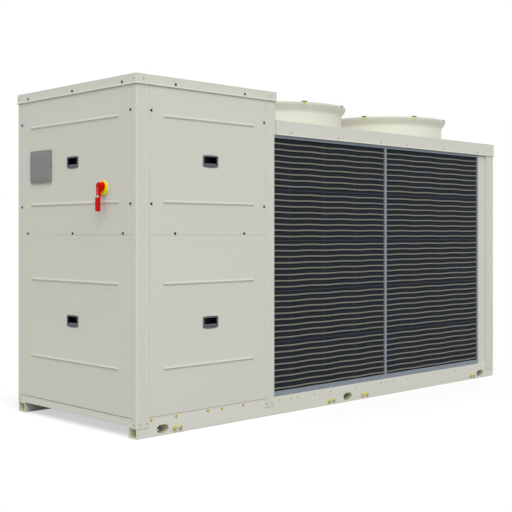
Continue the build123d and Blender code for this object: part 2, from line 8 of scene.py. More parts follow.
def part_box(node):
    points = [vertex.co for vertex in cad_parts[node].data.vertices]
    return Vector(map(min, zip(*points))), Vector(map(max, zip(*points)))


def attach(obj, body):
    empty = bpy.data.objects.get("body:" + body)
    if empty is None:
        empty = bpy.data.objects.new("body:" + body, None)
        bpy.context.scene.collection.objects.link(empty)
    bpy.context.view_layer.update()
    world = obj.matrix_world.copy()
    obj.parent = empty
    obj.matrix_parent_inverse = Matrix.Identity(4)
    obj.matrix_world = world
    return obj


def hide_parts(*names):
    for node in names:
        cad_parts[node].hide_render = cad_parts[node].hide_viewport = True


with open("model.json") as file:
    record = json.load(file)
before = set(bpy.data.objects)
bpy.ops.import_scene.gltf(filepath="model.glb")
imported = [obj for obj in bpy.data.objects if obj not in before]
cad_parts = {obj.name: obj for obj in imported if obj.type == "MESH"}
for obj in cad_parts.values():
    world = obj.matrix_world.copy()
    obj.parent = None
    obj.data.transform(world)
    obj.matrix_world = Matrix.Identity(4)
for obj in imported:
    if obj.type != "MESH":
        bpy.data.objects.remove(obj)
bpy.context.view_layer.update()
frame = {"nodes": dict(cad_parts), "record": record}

bl_info = {
    "name": "Air-cooled chiller",
    "version": (1, 0, 0),
    "blender": (4, 5, 0),
    "location": "3D View > Sidebar > Chiller",
    "description": "Dresses the packed chiller with sheet metal, coils, guards, screws and finishes",
    "category": "Object",
}

SLOTS = {part["node"]: part["material_slot"] for part in frame["record"]["subparts"]}
BODY = "chiller"

# How far the covers stand out from the side planes and the rails stand back
COVER_PROUD = 0.003
RAIL_BACK = 0.003

# Corner of the base at the control end and the front side, from which places are measured
RAIL_CORNER = Vector((RAIL_BACK, RAIL_BACK, 0.0))
BASE = Vector(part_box("base_rail_front")[0]) - RAIL_CORNER
BASE_LENGTH, BASE_WIDTH = (Vector(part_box("base_rail_rear")[1]) + RAIL_CORNER - BASE).xy

# Camera: place, turn about the vertical, and the photograph's focal length and horizon in pixels
CAMERA_PLACE = (-2.9266, -3.8614, 1.0082)
CAMERA_TURN = -44.1
FOCAL_PX, IMAGE_PX, HORIZON_PX = 982.8, 512.0, 21.88
SENSOR = 36.0
VIEW_END = 200.0

# Floor: its shadow's reach beyond the base and whiteness there, how it lights and how it is seen
FLOOR_RADIUS = 40.0
FLOOR_DROP = 0.0005
SHADOW_REACH = 0.7
SHADOW_WHITE = 0.55
PAPER_BOUNCE = 0.38
PAPER_SEEN = 0.9
ROOM_LIGHT = 0.5

# Soft lamps, far enough away to light both ends alike: (name, direction, power)
LAMP_DISTANCE = 40.0
LAMP_SIZE = 34.0
LAMPS = (
    ("side_lamp", (-0.3, -0.62, 0.82), 13600.0),
    ("end_lamp", (-0.66, 0.1, 0.82), 4200.0),
)

# Sheet metal that is dressed by rounding the edges of the CAD nodes
SHEET_METAL = ("base_", "end_beam", "cross_beams", "post_", "end_panel", "front_panel",
               "rear_panel", "far_panel", "cabinet_cover", "partition_panel", "fan_deck",
               "coil_frame", "water_")

# Lifting holes: distance of the outer ones from the ends, height, round and straight parts
LIFT_INSET = 0.167
LIFT_HEIGHT = 0.0315
LIFT_RADIUS = 0.0217
LIFT_STRAIGHT = 0.032

# Rails: wall, foot line of the posts that lap them, and what lines and closes their ends
RAIL_WALL = 0.004
FOOT_LINE = 0.05
LINER_SHEET = 0.0006
LINER_DEPTH = 0.045
LINER_INSET = 0.0005
PLATE_SHEET = 0.0016
PLATE_INSET = 0.0012
CLEARANCE = 0.0001

# Coils
TUBES_IN_GROUP = 8
TUBE_GROUPS = 5
FIN_JOINTS = (1.094, 1.38, 1.664, 2.244, 2.536, 2.819)
FIRST_SAG = 1.117
SAG_STEPS = 28
FIN_SHEET = 0.0004
FIN_SLACK = 0.004
JOINT_WIDTH = 0.0032
JOINT_PROUD = 0.0002
TIE_HEIGHT = 0.0036
TIE_PROUD = 0.0004
COIL_MARGIN = 0.001
TUBE_EDGE = 0.0028

# Fans: cowl, guard, motor with its shaft, and the clips on the rim
COWL_SIDES = 112
FLARE_STEPS = 12
GUARD_RINGS = 15
GUARD_ARMS = 8
FIRST_ARM_ANGLE = 22.5
FIRST_RING = 0.082
LAST_RING_INSET = 0.018
RING_SHARE = 0.55
ARM_START = 0.06
ARM_INSET = 0.005
MOTOR = (40, 0.064, 0.034, (
    (0, 1.09), (0.006, 1.0), (0, 0.92), (0.004, 1.0), (0, 1.09), (0.006, 1.0), (0, 0.92),
    (0.008, 0.94), (0.003, 0.85)))
SHAFT = (24, 0.014, 0.032, ((0.0, 0.8),))
SHAFT_DROP = 0.03
CLIP_SIZE = (0.024, 0.03, 0.0045)
CLIP_RISE = 0.0024
CLIP_INSET = 0.009
RIM_BOLT = (12, 0.0068, 0.004, ((0.0012, 0.8),))
RIM_BOLT_INSET = 0.0045
RIM_BOLT_DROP = 0.0125

# Controls: places are (depth behind the front, distance along the face) from the low corner
LATCH_PLACE, LATCH_SIZE = (0.0065, 0.0024), (0.0044, 0.0034, 0.02)
TAB_PLACE, TAB_SIZE = (0.0048, 0.0738), (0.0085, 0.021, 0.0135)
SLOT_PLACE, SLOT_SIZE = (0.0065, 0.102), (0.0014, 0.0045, 0.036)
HUB = (48, 0.0205, 0.003, ((0.008, 0.95), (0.008, 0.95), (0.0095, 0.95)))
HUB_RISE = 0.0115
HUB_WAIST = -0.004
HUB_DEPTHS = (0.010, 0.018, 0.027)
HUB_DROP = 0.012
HUB_NARROWING = 0.84

# Hand grips: bezel, pocket and the sill at its bottom
GRIP_HEIGHT = 0.066
POCKET_WIDTH = 0.0876
POCKET_HEIGHT = 0.0396
POCKET_DEPTH = 0.0316
POCKET_LIFT = 0.004
POCKET_FRONT = 0.002
POCKET_SHEET = 0.0008
SILL_RADIUS = 0.0105
SILL_DROP = 0.004

# Fasteners: (sides, radius, height, steps), the panel screws' radius being a setting
PANEL_SCREW_STEPS = ((0.0012, 0.9), (0.0006, 0.8), (0, 0.62), (-0.0018, 0.9))
DECK_SCREW = (12, 0.0045, 0.0018, ((0.001, 0.8), (0, 0.55), (-0.001, 0.9)))
RAIL_NUT = (24, 0.0138, 0.0022, ((0, 0.86), (0.003, 1.0), (0.001, 0.9)))
RAIL_STUD = (18, 0.0082, 0.0088, ((0.001, 0.85),))
FOOT_SCREW = (16, 0.0072, 0.001, ((0, 0.72), (0.0032, 1.0), (0.0006, 0.85)))
POST_SCREW = (16, 0.0054, 0.001, ((0, 0.72), (0.0024, 1.0), (0.0006, 0.85)))

# Screw places: (distance along the side, height), on both sides or both ends
PANEL_ROWS = (1.623, 1.159)
SEAM_ROW = 1.012
END_SCREWS = [(y, z) for z in PANEL_ROWS for y in (0.047, 1.061)]
END_SCREWS += [(y, SEAM_ROW) for y in (0.109, 0.554, 0.999)]
SIDE_SCREWS = [(x, z) for z in PANEL_ROWS for x in (0.092, 0.877)]
SIDE_SCREWS += [(x, SEAM_ROW) for x in (0.244, 0.725)]
END_COVER_SCREWS = [(y, 1.766) for y in (0.113, 0.554, 0.995)]
SIDE_COVER_SCREWS = [(x, 1.766) for x in (0.246, 0.728)]
END_LID_SCREWS = [(y, 1.777) for y in (0.019, 1.089)]
SIDE_LID_SCREWS = [(x, 1.777) for x in (0.042, 0.922)]
DECK_SCREWS = [(x, 1.579) for x in (1.09, 1.494, 1.897, 2.163, 2.56, 2.968)]
RAIL_BOLTS = [(x, 0.024) for x in (0.244, 0.282, 1.419, 1.459, 1.726, 1.768, 2.893, 2.933)]
FOOT_SCREWS = [(x, 0.085) for x in (0.094, 0.255, 0.469, 0.567, 0.722)]
POST_SCREWS = [(0.021, 0.074), (0.065, 0.074), (0.901, 0.072), (0.94, 0.072), (3.121, 0.066)]
POST_END_SCREWS = [(0.015, 0.074), (1.093, 0.074)]
COIL_SCREWS = [(x, 0.08) for x in (0.994, 1.097, 1.151, 1.289, 1.433, 1.669, 1.905, 1.952, 2.03,
                                   2.175, 2.468, 2.564, 2.707)]


def at(x, y, z):
    """Point measured in metres from the near bottom corner of the base."""
    return BASE + Vector((x, y, z))


def corners(node):
    """Lowest and highest corner of a CAD node."""
    low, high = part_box(node)
    return Vector(low), Vector(high)


def deselect():
    """Leaves nothing selected, in object mode."""
    if bpy.context.object and bpy.context.object.mode != "OBJECT":
        bpy.ops.object.mode_set(mode="OBJECT")
    bpy.ops.object.select_all(action="DESELECT")


def only(piece):
    """Makes the piece the one that operators work on."""
    deselect()
    piece.select_set(True)
    bpy.context.view_layer.objects.active = piece


def named(name):
    """Names the primitive that was just added and its mesh."""
    piece = bpy.context.object
    piece.name = name
    piece.data.name = name
    return piece


def settle(piece):
    """Puts the piece's place, turn and scale into its mesh, so its object sits at the origin."""
    only(piece)
    bpy.ops.object.transform_apply(location=True, rotation=True, scale=True)


def cuboid(name, middle, size):
    """Box of the given size about its middle."""
    deselect()
    bpy.ops.mesh.primitive_cube_add(size=1, location=middle)
    piece = named(name)
    piece.scale = size
    settle(piece)
    return piece


def between(name, low, high):
    """Box between two opposite corners."""
    low, high = Vector(low), Vector(high)
    return cuboid(name, (low + high) / 2, [abs(side) for side in high - low])


def bevel(piece, width, segments=1, degrees=30):
    """Adds a modifier that rounds the edges sharper than the angle."""
    only(piece)
    bpy.ops.object.modifier_add(type="BEVEL")
    rounding = piece.modifiers[-1]
    rounding.width = width
    rounding.segments = segments
    rounding.limit_method = "ANGLE"
    rounding.angle_limit = math.radians(degrees)
    return rounding


def solidify(piece, thickness, offset):
    """Adds a modifier that gives a sheet its thickness, inwards (-1) or outwards (1)."""
    only(piece)
    bpy.ops.object.modifier_add(type="SOLIDIFY")
    piece.modifiers[-1].thickness = thickness
    piece.modifiers[-1].offset = offset


def apply_modifiers(piece):
    """Applies all the piece's modifiers in their order."""
    only(piece)
    for modifier in list(piece.modifiers):
        bpy.ops.object.modifier_apply(modifier=modifier.name)


def unpick(piece, kind):
    """Leaves none of the piece's vertices or faces selected, in object mode."""
    only(piece)
    bpy.ops.object.mode_set(mode="EDIT")
    bpy.ops.mesh.select_mode(type=kind)
    bpy.ops.mesh.select_all(action="DESELECT")
    bpy.ops.object.mode_set(mode="OBJECT")


def pick_faces(piece, test):
    """Selects, in object mode, the faces for which test(centre, normal) is true."""
    unpick(piece, "FACE")
    for face in piece.data.polygons:
        face.select = test(face.center, face.normal)


def pick_points(piece, test):
    """Selects, in object mode, the vertices for which test(place) is true."""
    unpick(piece, "VERT")
    for point in piece.data.vertices:
        point.select = test(point.co)


def open_up(piece, test):
    """Deletes the faces for which test(centre, normal) is true."""
    pick_faces(piece, test)
    bpy.ops.object.mode_set(mode="EDIT")
    bpy.ops.mesh.delete(type="FACE")
    bpy.ops.object.mode_set(mode="OBJECT")


def joined(name, pieces):
    """Joins like pieces into one mesh at the origin."""
    deselect()
    for piece in pieces:
        piece.select_set(True)
    bpy.context.view_layer.objects.active = pieces[0]
    bpy.ops.object.join()
    whole = named(name)
    settle(whole)
    return whole


def copy_at(piece, matrix):
    """A copy with its own mesh, moved by the matrix."""
    other = piece.copy()
    other.data = piece.data.copy()
    other.data.transform(matrix)
    bpy.context.collection.objects.link(other)
    return other


def smooth(piece, degrees=35.0):
    """Shades the piece smooth except at edges sharper than the angle."""
    only(piece)
    bpy.ops.object.shade_smooth_by_angle(angle=math.radians(degrees))


def finish(name):
    """A material that the finishes operator has made."""
    return bpy.data.materials[name]


def dress(piece, material, body=BODY):
    """Gives the piece its one material and the body it moves with."""
    piece.data.materials.clear()
    piece.data.materials.append(finish(material))
    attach(piece, body)


def softened(name, node, radius, material, body=BODY, segments=2):
    """A finished copy of a CAD node: merged, flat facets dissolved, sharp edges rounded."""
    piece = bpy.data.objects.new(name, frame["nodes"][node].data.copy())
    piece.data.name = name
    bpy.context.collection.objects.link(piece)
    only(piece)
    bpy.ops.object.mode_set(mode="EDIT")
    bpy.ops.mesh.select_all(action="SELECT")
    bpy.ops.mesh.remove_doubles(threshold=0.00001)
    bpy.ops.mesh.dissolve_limited(angle_limit=math.radians(0.5))
    bpy.ops.mesh.select_all(action="SELECT")
    bpy.ops.mesh.vert_connect_concave()
    bpy.ops.mesh.normals_make_consistent(inside=False)
    bpy.ops.object.mode_set(mode="OBJECT")
    bpy.ops.object.shade_smooth()
    bevel(piece, radius, segments, 32).miter_outer = "MITER_ARC"
    bpy.ops.object.modifier_add(type="WEIGHTED_NORMAL")
    apply_modifiers(piece)
    dress(piece, material, body)
    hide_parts(node)
    return piece


def facing(direction):
    """Rotation that turns the Z axis to the direction."""
    return Vector(direction).to_track_quat("Z", "Y").to_matrix().to_4x4()


def turned(name, sides, radius, height, steps, z=0.0):
    """Upright turned or many-sided piece from the height z, extruded on by each (rise, scale)."""
    deselect()
    bpy.ops.mesh.primitive_cylinder_add(vertices=sides, radius=radius, depth=height,
                                        location=(0, 0, z + height / 2))
    piece = named(name)
    settle(piece)
    top = z + height
    pick_faces(piece, lambda centre, normal: normal.z > 0.9 and centre.z > top - CLEARANCE)
    bpy.ops.object.mode_set(mode="EDIT")
    for rise, scale in steps:
        bpy.ops.mesh.extrude_region_move(TRANSFORM_OT_translate={"value": (0, 0, rise)})
        bpy.ops.transform.resize(value=(scale, scale, 1), center_override=(0, 0, 0))
    bpy.ops.object.mode_set(mode="OBJECT")
    return piece


def spread(name, pattern, places, material, body=BODY):
    """Copies the pattern, which stands on the origin, to each (place, direction) and joins them."""
    copies = [copy_at(pattern, Matrix.Translation(place) @ facing(direction))
              for place, direction in places]
    bpy.data.objects.remove(pattern)
    whole = joined(name, copies)
    smooth(whole)
    dress(whole, material, body)


def on_sides(points, depth):
    """Places on both long sides, at the depth behind the side's plane, and their directions."""
    front = [(at(x, depth, z), (0, -1, 0)) for x, z in points]
    return front + [(at(x, BASE_WIDTH - depth, z), (0, 1, 0)) for x, z in points]


def on_ends(points, depth, near_only=False):
    """Places on the control end or on both ends, as distances from the front side and heights."""
    near = [(at(depth, y, z), (-1, 0, 0)) for y, z in points]
    if near_only:
        return near
    return [(at(BASE_LENGTH - depth, y, z), (1, 0, 0)) for y, z in points] + near


def linear(hex_colour):
    """Linear RGBA of an sRGB colour written as six hex digits."""
    values = []
    for start in (0, 2, 4):
        level = int(hex_colour[start:start + 2], 16) / 255
        values.append(level / 12.92 if level <= 0.04045 else ((level + 0.055) / 1.055) ** 2.4)
    return (*values, 1.0)


def set_input(node, name, value):
    """Sets a constant on the socket of a node."""
    node.inputs[name].default_value = value


def math_node(tree, operation, *values):
    """Output of a maths node whose inputs are numbers or linked sockets."""
    node = tree.nodes.new("ShaderNodeMath")
    node.operation = operation
    for slot, value in zip(node.inputs, values):
        if isinstance(value, bpy.types.NodeSocket):
            tree.links.new(value, slot)
        else:
            slot.default_value = value
    return node.outputs[0]


def vector_node(tree, operation, source, value=(0.0, 0.0, 0.0)):
    """Output of a vector maths node on the source and a constant."""
    node = tree.nodes.new("ShaderNodeVectorMath")
    node.operation = operation
    tree.links.new(source, node.inputs[0])
    node.inputs[1].default_value = value
    return node.outputs["Value" if operation == "LENGTH" else "Vector"]


def scaled(tree, colour, factor):
    """The colour made lighter or darker by a linked factor."""
    node = tree.nodes.new("ShaderNodeVectorMath")
    node.operation = "SCALE"
    tree.links.new(colour, node.inputs[0])
    tree.links.new(factor, node.inputs["Scale"])
    return node.outputs["Vector"]


def ranged(tree, source, low, high):
    """The source, from 0 to 1, mapped to the range from low to high."""
    node = tree.nodes.new("ShaderNodeMapRange")
    set_input(node, "To Min", low)
    set_input(node, "To Max", high)
    tree.links.new(source, node.inputs["Value"])
    return node.outputs["Result"]


def seen_rays(tree):
    """Mask of rays that see straight or by reflection, and of those that see straight."""
    rays = tree.nodes.new("ShaderNodeLightPath")
    straight = rays.outputs["Is Camera Ray"]
    seen = math_node(tree, "ADD", straight, rays.outputs["Is Glossy Ray"])
    seen.node.use_clamp = True
    return seen, straight


def new_group(name, inputs, outputs):
    """Shader node group with named sockets: (name, type, default) in, (name, type) out."""
    group = bpy.data.node_groups.new(name, "ShaderNodeTree")
    for socket_name, kind, default in inputs:
        socket = group.interface.new_socket(name=socket_name, in_out="INPUT", socket_type=kind)
        socket.default_value = default
    for socket_name, kind in outputs:
        group.interface.new_socket(name=socket_name, in_out="OUTPUT", socket_type=kind)
    source = group.nodes.new("NodeGroupInput").outputs
    result = group.nodes.new("NodeGroupOutput").inputs
    place = group.nodes.new("ShaderNodeTexCoord").outputs["Object"]
    return group, source, result, place


def coated_grain():
    """Sprayed paint: fine orange peel for bump, and slow drifts of tone and gloss."""
    group, source, result, place = new_group(
        "coated_grain",
        (("Colour", "NodeSocketColor", (0.6, 0.6, 0.55, 1.0)),
         ("Tone drift", "NodeSocketFloat", 0.04), ("Roughness", "NodeSocketFloat", 0.45),
         ("Peel size", "NodeSocketFloat", 420.0)),
        (("Colour", "NodeSocketColor"), ("Roughness", "NodeSocketFloat"),
         ("Height", "NodeSocketFloat")),
    )
    drift = group.nodes.new("ShaderNodeTexNoise")
    set_input(drift, "Scale", 1.7)
    set_input(drift, "Detail", 4.0)
    group.links.new(place, drift.inputs["Vector"])
    centred = math_node(group, "SUBTRACT", drift.outputs["Fac"], 0.5)
    amount = math_node(group, "MULTIPLY_ADD", centred, source["Tone drift"], 1.0)
    group.links.new(scaled(group, source["Colour"], amount), result["Colour"])
    gloss = math_node(group, "MULTIPLY_ADD", centred, 0.12, source["Roughness"])
    group.links.new(gloss, result["Roughness"])
    peel = group.nodes.new("ShaderNodeTexNoise")
    set_input(peel, "Detail", 2.0)
    group.links.new(place, peel.inputs["Vector"])
    group.links.new(source["Peel size"], peel.inputs["Scale"])
    group.links.new(peel.outputs["Fac"], result["Height"])
    return group


def zinc_flakes():
    """Galvanised sheet: flat crystal flakes of slightly different tone."""
    group, source, result, place = new_group(
        "zinc_flakes",
        (("Colour", "NodeSocketColor", (0.4, 0.45, 0.5, 1.0)),
         ("Contrast", "NodeSocketFloat", 0.25), ("Flake size", "NodeSocketFloat", 70.0)),
        (("Colour", "NodeSocketColor"), ("Roughness", "NodeSocketFloat")),
    )
    cells = group.nodes.new("ShaderNodeTexVoronoi")
    group.links.new(place, cells.inputs["Vector"])
    group.links.new(source["Flake size"], cells.inputs["Scale"])
    split = group.nodes.new("ShaderNodeSeparateColor")
    group.links.new(cells.outputs["Color"], split.inputs["Color"])
    centred = math_node(group, "SUBTRACT", split.outputs["Red"], 0.5)
    level = math_node(group, "MULTIPLY_ADD", centred, source["Contrast"], 1.0)
    group.links.new(scaled(group, source["Colour"], level), result["Colour"])
    group.links.new(ranged(group, split.outputs["Green"], 0.32, 0.52), result["Roughness"])
    return group


def shader_of(name):
    """A new material, in place of any loaded one of that name, and its Principled shader."""
    loaded = bpy.data.materials.get(name)
    if loaded:
        bpy.data.materials.remove(loaded)
    material = bpy.data.materials.new(name)
    material.use_nodes = True
    return material, material.node_tree.nodes["Principled BSDF"]


def painted(name, colour, grain, roughness=0.45, peel_size=420.0, peel=0.03, gloss=0.3):
    """Material of sprayed or moulded pieces, with the shared grain."""
    material, shader = shader_of(name)
    tree = material.node_tree
    effect = tree.nodes.new("ShaderNodeGroup")
    effect.node_tree = grain
    set_input(effect, "Colour", colour)
    set_input(effect, "Roughness", roughness)
    set_input(effect, "Tone drift", 0.02)
    set_input(effect, "Peel size", peel_size)
    bump = tree.nodes.new("ShaderNodeBump")
    set_input(bump, "Strength", peel)
    set_input(bump, "Distance", 0.001)
    tree.links.new(effect.outputs["Height"], bump.inputs["Height"])
    tree.links.new(bump.outputs["Normal"], shader.inputs["Normal"])
    tree.links.new(effect.outputs["Colour"], shader.inputs["Base Color"])
    tree.links.new(effect.outputs["Roughness"], shader.inputs["Roughness"])
    set_input(shader, "Specular IOR Level", gloss)


def zinc_coated(name, colour, flakes, metallic, contrast=0.25, flake_size=400.0):
    """Material of galvanised or plated pieces, with the shared flakes."""
    material, shader = shader_of(name)
    tree = material.node_tree
    effect = tree.nodes.new("ShaderNodeGroup")
    effect.node_tree = flakes
    set_input(effect, "Colour", colour)
    set_input(effect, "Contrast", contrast)
    set_input(effect, "Flake size", flake_size)
    set_input(shader, "Metallic", metallic)
    tree.links.new(effect.outputs["Colour"], shader.inputs["Base Color"])
    tree.links.new(effect.outputs["Roughness"], shader.inputs["Roughness"])


def length(name, description, metres):
    """Length property with its default in metres."""
    return bpy.props.FloatProperty(name=name, description=description, default=metres,
                                   unit="LENGTH")


def tint(name, description, hex_colour):
    """Colour property whose default is an sRGB colour of six hex digits."""
    return bpy.props.FloatVectorProperty(name=name, description=description, subtype="COLOR",
                                         size=4, min=0.0, max=1.0, default=linear(hex_colour))


class ChillerSizes(bpy.types.PropertyGroup):
    edge_radius: length("Edge radius", "Rounding of folded sheet edges", 0.0012)
    screw_radius: length("Panel screw radius", "Radius of the black panel screws", 0.0065)
    fin_pitch: length("Fin pitch", "Distance between the coil fins", 0.005)
    fin_depth: length("Fin depth", "Depth to which the fins are modelled", 0.014)
    tube_height: length("Tube height", "Height of a flat coil tube", 0.009)
    tube_proud: length("Tube reach", "How far the tubes stand out of the fins", 0.0021)
    tube_pitch: length("Tube pitch", "Distance between the tubes of a group", 0.03386)
    group_pitch: length("Group pitch", "Distance between the groups of tubes", 0.28436)
    first_tube: length("First tube", "Height of the lowest tube", 0.1417)
    tube_sag: length("Tube sag", "How far the tubes sag and rise along their length", 0.0013)
    sag_pitch: length("Sag pitch", "Distance between the low points of a tube", 0.2875)
    cowl_sheet: length("Cowl sheet", "Thickness of the fan cowls", 0.003)
    flare_width: length("Flare width", "How far a cowl's mouth opens out", 0.030)
    flare_height: length("Flare height", "Height of a cowl's flared mouth", 0.062)
    guard_wire: length("Guard wire", "Thickness of the guard's arms", 0.006)


class ChillerColours(bpy.types.PropertyGroup):
    cabinet: tint("Cabinet", "Paint of the posts, panels and covers", "C9C9BF")
    base: tint("Base", "Paint of the base frame", "CFCFC5")
    cowls: tint("Cowls", "Paint of the fan cowls", "DBDBCE")
    zinc: tint("Galvanised sheet", "Coil frames", "7E8790")
    fins: tint("Coil fins", "Black-coated fins", "383F46")
    tubes: tint("Coil tubes", "Flat tubes between the fins", "706E66")
    black: tint("Black parts", "Guards, motors and panel screws", "2A2A28")
    display: tint("Display", "Moulded display housing and cover", "80807F")
    grips: tint("Grips", "Moulded bezels of the hand grips", "5C5E62")
    handle: tint("Switch handle", "Red of the main switch", "C20A06")
    switch_plate: tint("Switch plate", "Yellow of the main switch", "EAE206")
    plated: tint("Yellow plating", "Nuts and bolts of the base", "CCC22C")


class CHILLER_OT_stage(bpy.types.Operator):
    """Camera at the photograph's place, floor, white surroundings and soft lamps"""
    bl_idname = "chiller.stage"
    bl_label = "Stage"

    def execute(self, context):
        context.scene.view_settings.view_transform = "Standard"
        self.add_camera(context)
        self.add_floor()
        self.add_surroundings(context)
        self.add_lamps(context)
        return {"FINISHED"}

    def add_camera(self, context):
        """Level camera whose picture is shifted down to the photograph's horizon."""
        deselect()
        bpy.ops.object.camera_add(location=at(*CAMERA_PLACE),
                                  rotation=(math.radians(90), 0, math.radians(CAMERA_TURN)))
        camera = context.object
        camera.data.sensor_width = SENSOR
        camera.data.lens = FOCAL_PX / IMAGE_PX * SENSOR
        camera.data.shift_y = -HORIZON_PX / IMAGE_PX
        camera.data.clip_end = VIEW_END
        context.scene.camera = camera

    def add_floor(self):
        """Pale paper that keeps the shadow near the base and turns white farther out."""
        bpy.ops.mesh.primitive_circle_add(vertices=96, radius=FLOOR_RADIUS, fill_type="NGON",
                                          location=(0, 0, 0))
        floor = named("floor")
        floor.data.transform(Matrix.Translation((0, 0, -FLOOR_DROP)))
        material, shader = shader_of("floor_paper")
        set_input(shader, "Roughness", 0.9)
        tree = material.node_tree
        place = tree.nodes.new("ShaderNodeTexCoord").outputs["Object"]
        outside = vector_node(tree, "SUBTRACT", vector_node(tree, "ABSOLUTE", place),
                              (BASE_LENGTH / 2, BASE_WIDTH / 2, 1.0))
        away = vector_node(tree, "LENGTH", vector_node(tree, "MAXIMUM", outside))
        fade = ranged(tree, away, SHADOW_WHITE, 1.0)
        fade.node.interpolation_type = "SMOOTHSTEP"
        set_input(fade.node, "From Max", SHADOW_REACH)
        seen, straight = seen_rays(tree)
        tree.links.new(ranged(tree, straight, PAPER_BOUNCE, PAPER_SEEN),
                       shader.inputs["Base Color"])
        glow = tree.nodes.new("ShaderNodeEmission")
        mix = tree.nodes.new("ShaderNodeMixShader")
        tree.links.new(math_node(tree, "MULTIPLY", seen, fade), mix.inputs["Fac"])
        tree.links.new(shader.outputs["BSDF"], mix.inputs[1])
        tree.links.new(glow.outputs["Emission"], mix.inputs[2])
        tree.links.new(mix.outputs["Shader"], tree.nodes["Material Output"].inputs["Surface"])
        floor.data.materials.append(material)

    def add_surroundings(self, context):
        """White to look at, and less bright as a light."""
        world = bpy.data.worlds.new("studio")
        context.scene.world = world
        world.use_nodes = True
        tree = world.node_tree
        backdrop = tree.nodes["Background"]
        set_input(backdrop, "Color", (1, 1, 1, 1))
        seen = seen_rays(tree)[0]
        tree.links.new(ranged(tree, seen, ROOM_LIGHT, 1.0), backdrop.inputs["Strength"])

    def add_lamps(self, context):
        """Round lamps turned to the middle of the floor."""
        for name, direction, power in LAMPS:
            place = Vector(direction).normalized() * LAMP_DISTANCE
            bpy.ops.object.light_add(type="AREA", location=place)
            lamp = context.object
            lamp.name = name
            lamp.data.shape = "DISK"
            lamp.data.size = LAMP_SIZE
            lamp.data.energy = power
            lamp.rotation_euler = place.to_track_quat("Z", "Y").to_euler()


class CHILLER_OT_finishes(bpy.types.Operator):
    """Materials of the nodes that come as they are and of the pieces that are added"""
    bl_idname = "chiller.finishes"
    bl_label = "Finishes"

    def execute(self, context):
        grain = coated_grain()
        flakes = zinc_flakes()
        colours = context.scene.chiller_colours
        fine, coarse = {"peel_size": 900.0}, {"peel_size": 200.0}
        moulded = {"peel_size": 1500.0}
        for name, colour, options in (
            ("cabinet_paint", colours.cabinet, {}),
            ("frame_paint", colours.base, {}),
            # Rail liners and lifting hole sleeves: yellower tints than the base paint, painted light
            # bounced inside the rails
            ("hollow_painted_bounce", linear("DADAC0"), {}),
            ("sleeve_painted_bounce", linear("C8C8B2"), {}),
            ("cowl_paint", colours.cowls, {"roughness": 0.4}),
            ("coil_fins", colours.fins, {"roughness": 0.5, **coarse}),
            # The coil core is near black, darker than the fins: painted shade deep inside the coils
            ("coil_painted_shade", linear("111519"), {"roughness": 0.7, **coarse}),
            ("coil_joint", linear("30363E"), {"roughness": 0.5, **coarse}),
            ("tube_line", colours.tubes, {"roughness": 0.5}),
            ("guard_wire", colours.black, {"roughness": 0.4}),
            ("black_screw", colours.black, {"roughness": 0.4}),
            ("grey_screw", linear("9A9A8C"), {"roughness": 0.4}),
            ("rotor", linear("202124"), {"roughness": 0.5, **fine}),
            ("grip_plastic", colours.grips, {"peel": 0.15, **moulded}),
            ("pocket_black", linear("070A14"), {"roughness": 0.5, "gloss": 0.1, **fine}),
            ("grip_sill", linear("50545A"), {"roughness": 0.4, **fine}),
            ("display_plastic", colours.display,
             {"roughness": 0.5, "peel": 0.12, "gloss": 0.2, **moulded}),
            ("switch_yellow", colours.switch_plate, {"gloss": 0.1, **fine}),
            ("switch_red", colours.handle, {"roughness": 0.35, "gloss": 0.06, **fine}),
            ("pale_plastic", linear("B4B4AC"), fine),
            ("slot_brown", linear("A87858"), fine),
            ("pipe_steel", linear("2C2C2C"), {"roughness": 0.5}),
        ):
            painted(name, colour, grain, **options)
        zinc_coated("galvanised", colours.zinc, flakes, 0.3, contrast=0.12, flake_size=70.0)
        zinc_coated("zinc_bolt", colours.plated, flakes, 0.5)
        zinc_coated("amber_screw", linear("BCA000"), flakes, 0.2)
        zinc_coated("olive_screw", linear("BEBE84"), flakes, 0.3)
        zinc_coated("bare_steel", linear("98A0B4"), flakes, 0.3)
        for node, piece in frame["nodes"].items():
            piece.data.materials.clear()
            piece.data.materials.append(finish(SLOTS[node]))
        return {"FINISHED"}


class CHILLER_OT_sheet_metal(bpy.types.Operator):
    """Base, posts, panels, covers and coil frames with rounded edges"""
    bl_idname = "chiller.sheet_metal"
    bl_label = "Sheet metal"

    def execute(self, context):
        radius = context.scene.chiller_sizes.edge_radius
        for node in sorted(SLOTS):
            if node.startswith(SHEET_METAL):
                softened(f"soft_{node}", node, radius, SLOTS[node])
        return {"FINISHED"}


